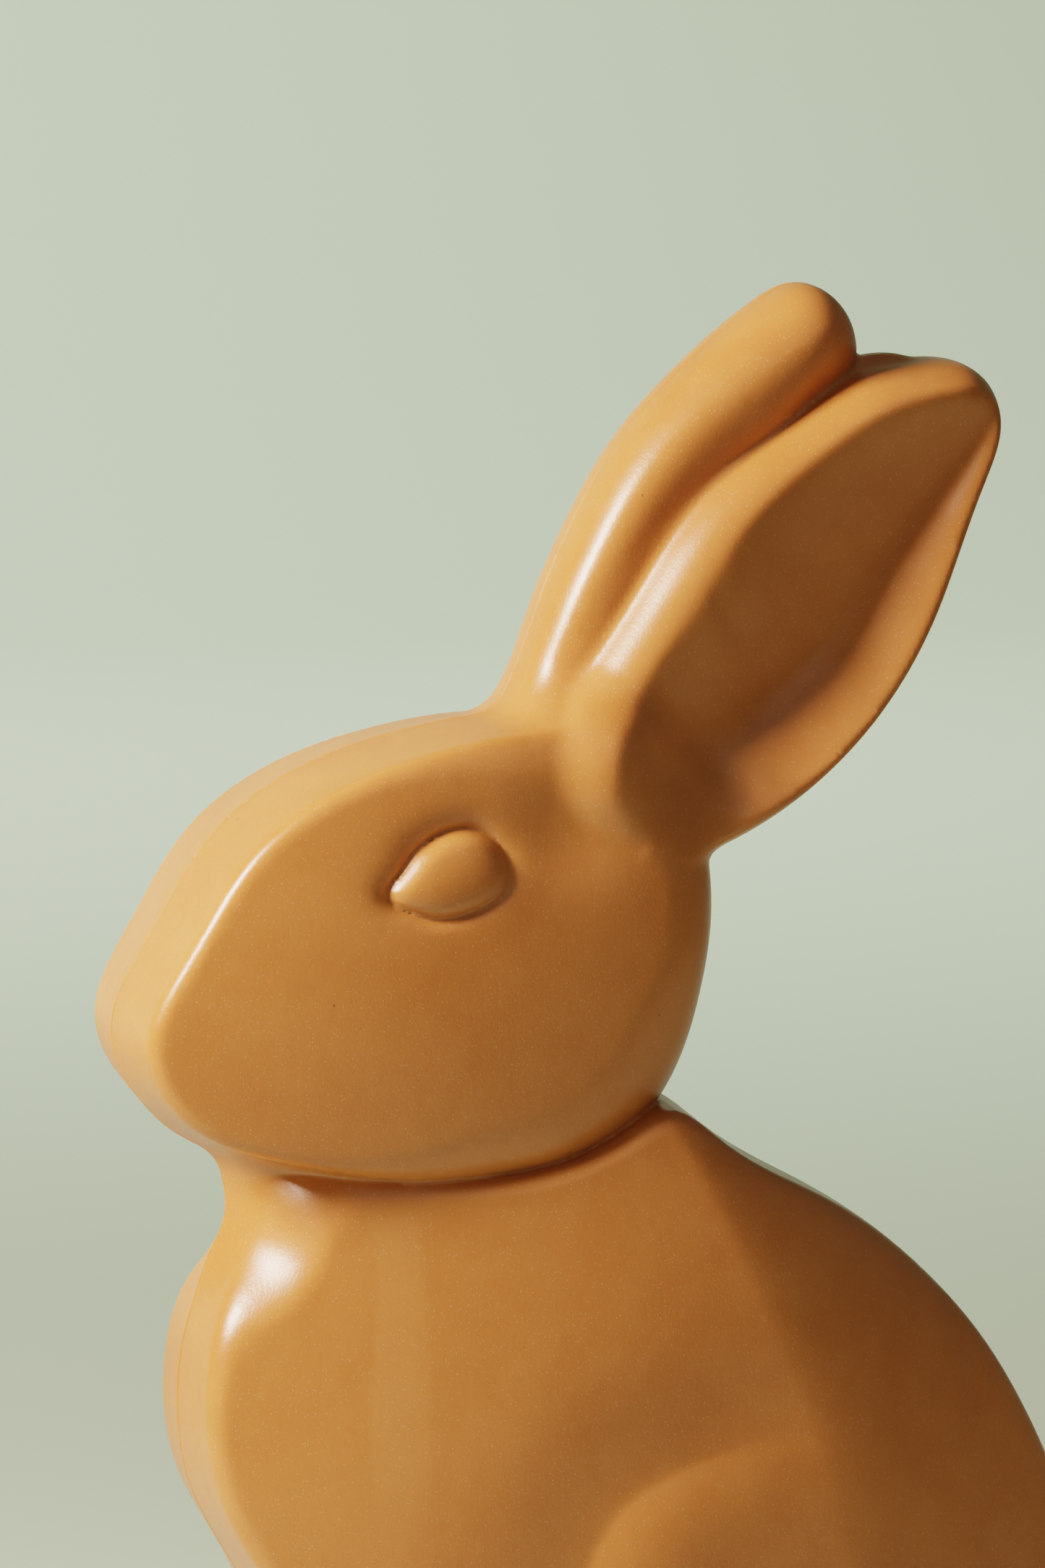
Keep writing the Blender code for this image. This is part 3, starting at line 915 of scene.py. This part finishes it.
def chocolate():
    """Milk chocolate from a polished mould: mottled, with grain, flecks, pinholes and a wiped band."""
    material = bpy.data.materials.new("milk_chocolate")
    material.use_nodes = True
    n = Nodes(material.node_tree)
    shader = material.node_tree.nodes["Principled BSDF"]
    at = material.node_tree.nodes.new("ShaderNodeTexCoord").outputs["Object"]
    cloudy = n.noise(at, scale=55.0, detail=3.0, rough=0.55, warp=0.6)
    patchy = n.noise(at, scale=260.0, detail=4.0, rough=0.6, warp=0.3)
    grain = n.noise(at, scale=3600.0, detail=3.0, rough=0.7)
    streaks = n.noise(n.stretch(at, (1.0, 1.0, 0.16)), scale=420.0, detail=3.0, rough=0.55, warp=0.4)
    pinholes = n.spots(at, scale=700.0, share=0.02, core=0.06, rim=0.10)
    band = wiped_band(n, at, streaks)
    n.put(shader.inputs["Base Color"], mottled(n, at, cloudy, patchy, grain, band, pinholes))
    sheen = n.plus(n.times(patchy, PATCHY_ROUGH), n.times(streaks, STREAKY_ROUGH))
    n.put(shader.inputs["Roughness"], n.plus(n.plus(sheen, ROUGH), n.times(band, BAND_ROUGH)))
    n.put(shader.inputs["Normal"], relief(n, at, cloudy, patchy, grain, pinholes))
    shader.inputs["IOR"].default_value = IOR
    shader.inputs["Subsurface Weight"].default_value = GLOW
    shader.inputs["Subsurface Radius"].default_value = GLOW_REACH
    shader.inputs["Subsurface Scale"].default_value = GLOW_SCALE
    return material


rabbit.data.materials.append(chocolate())
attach(rabbit, "root")
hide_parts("rabbit")


# Studio, in metres: the sweep's colours and where one turns into the other, its ends, bend and width, and
# how far the floor lies under the base
BACKDROP = (0.57, 0.635, 0.50, 1.0)
FLOOR = (0.50, 0.56, 0.45, 1.0)
TURN_Z = (0.0, 0.3)
SWEEP_FRONT = -2.6
SWEEP_BACK = 2.3
SWEEP_BEND = 0.9
SWEEP_TOP = 2.4
SWEEP_HALF = 3.2
SWEEP_STEPS = 12
FLOOR_GAP = 0.0002
PAINT_ROUGH = 0.9
PAINT_GLOSS = 0.1


def sweep_profile():
    """Points in y and z: along the floor, round the bend and up the backdrop."""
    start = SWEEP_BACK - SWEEP_BEND
    profile = [(SWEEP_FRONT, 0.0), (start, 0.0)]
    for k in range(1, SWEEP_STEPS + 1):
        turn = math.pi / 2 * k / SWEEP_STEPS
        profile.append((start + SWEEP_BEND * math.sin(turn), SWEEP_BEND * (1 - math.cos(turn))))
    profile.append((SWEEP_BACK, SWEEP_TOP))
    return profile


def studio_paint():
    """Matt paint that turns from the floor's colour into the backdrop's."""
    paint = bpy.data.materials.new("studio_paint")
    paint.use_nodes = True
    shader = paint.node_tree.nodes["Principled BSDF"]
    n = Nodes(paint.node_tree)
    height = n.split(paint.node_tree.nodes.new("ShaderNodeTexCoord").outputs["Object"])["Z"]
    n.put(shader.inputs["Base Color"], n.blend(n.fade(height, *TURN_Z), FLOOR, BACKDROP))
    shader.inputs["Roughness"].default_value = PAINT_ROUGH
    shader.inputs["Specular IOR Level"].default_value = PAINT_GLOSS
    return paint


def sweep():
    """A floor that curves up into a backdrop."""
    profile = sweep_profile()
    count = len(profile)
    verts = [(x, y, z - FLOOR_GAP) for x in (-SWEEP_HALF, SWEEP_HALF) for y, z in profile]
    mesh = bpy.data.meshes.new("studio_sweep")
    mesh.from_pydata(verts, [], [(i, i + 1, count + i + 1, count + i) for i in range(count - 1)])
    mesh.shade_smooth()
    mesh.materials.append(studio_paint())
    thing = bpy.data.objects.new("studio_sweep", mesh)
    bpy.context.scene.collection.objects.link(thing)
    return thing


sweep()


# Light: what the key and the front light aim at, how wide the backdrop's wash spreads, and the world's light
SUBJECT = Vector((-0.01, 0.0, 0.09))
WASH_SPREAD = math.radians(100.0)
WORLD_COLOUR = (0.50, 0.56, 0.45, 1.0)
WORLD_STRENGTH = 0.2


def direction(azimuth, elevation):
    """From the rabbit outwards: degrees from its near face towards the nose, and up."""
    a, e = math.radians(azimuth), math.radians(elevation)
    return Vector((-math.sin(a) * math.cos(e), -math.cos(a) * math.cos(e), math.sin(e)))


def area_light(name, at, aim, size, watts, colour):
    """A rectangular light that the camera doesn't see."""
    light = bpy.data.lights.new(name, "AREA")
    light.shape = "RECTANGLE"
    light.size, light.size_y = size
    light.energy = watts
    light.color = colour
    thing = bpy.data.objects.new(name, light)
    thing.visible_camera = False
    thing.location = at
    thing.rotation_euler = (Vector(aim) - Vector(at)).to_track_quat("-Z", "Y").to_euler()
    bpy.context.scene.collection.objects.link(thing)
    return thing


area_light(
    "key", at=SUBJECT + direction(azimuth=78, elevation=32) * 0.30, aim=SUBJECT,
    size=(0.08, 0.10), watts=2.55, colour=(1.0, 0.89, 0.77),
)
area_light(
    "front", at=SUBJECT + direction(azimuth=-6, elevation=34) * 1.3, aim=SUBJECT,
    size=(0.9, 0.9), watts=0.95, colour=(1.0, 0.84, 0.76),
)
wash = area_light(
    "wash", at=(-0.3, 0.35, 1.5), aim=(-0.15, 1.6, 0.0),
    size=(2.2, 0.6), watts=23.0, colour=(0.98, 1.0, 0.89),
)
wash.data.spread = WASH_SPREAD
wash.visible_glossy = False

world = bpy.data.worlds.new("studio")
bpy.context.scene.world = world
world.use_nodes = True
world.node_tree.nodes["Background"].inputs["Color"].default_value = WORLD_COLOUR
world.node_tree.nodes["Background"].inputs["Strength"].default_value = WORLD_STRENGTH


# Camera: the photograph's, found from the outline, the seam and the face's edge, in metres and degrees
TARGET = Vector((-0.012, 0.0, 0.1052))
DISTANCE = 0.56
AZIMUTH = 16.0
ELEVATION = 6.0
FRAME_HEIGHT = 0.1394
SENSOR_HEIGHT = 36.0
CLIP_START = 0.01
EXPOSURE = 0.1


def camera():
    """A camera at the photograph's viewing angle, framed as it is."""
    away = direction(AZIMUTH, ELEVATION)
    turned = math.radians(AZIMUTH)
    right = Vector((math.cos(turned), -math.sin(turned), 0.0))
    turn = Matrix((right, away.cross(right), away)).transposed()
    data = bpy.data.cameras.new("camera")
    data.sensor_fit = "VERTICAL"
    data.sensor_height = SENSOR_HEIGHT
    data.lens = SENSOR_HEIGHT * DISTANCE / FRAME_HEIGHT
    data.clip_start = CLIP_START
    thing = bpy.data.objects.new("camera", data)
    thing.matrix_world = Matrix.Translation(TARGET + away * DISTANCE) @ turn.to_4x4()
    bpy.context.scene.collection.objects.link(thing)
    return thing


scene = bpy.context.scene
scene.camera = camera()
scene.view_settings.view_transform = "Filmic"
scene.view_settings.look = "Medium High Contrast"
scene.view_settings.exposure = EXPOSURE
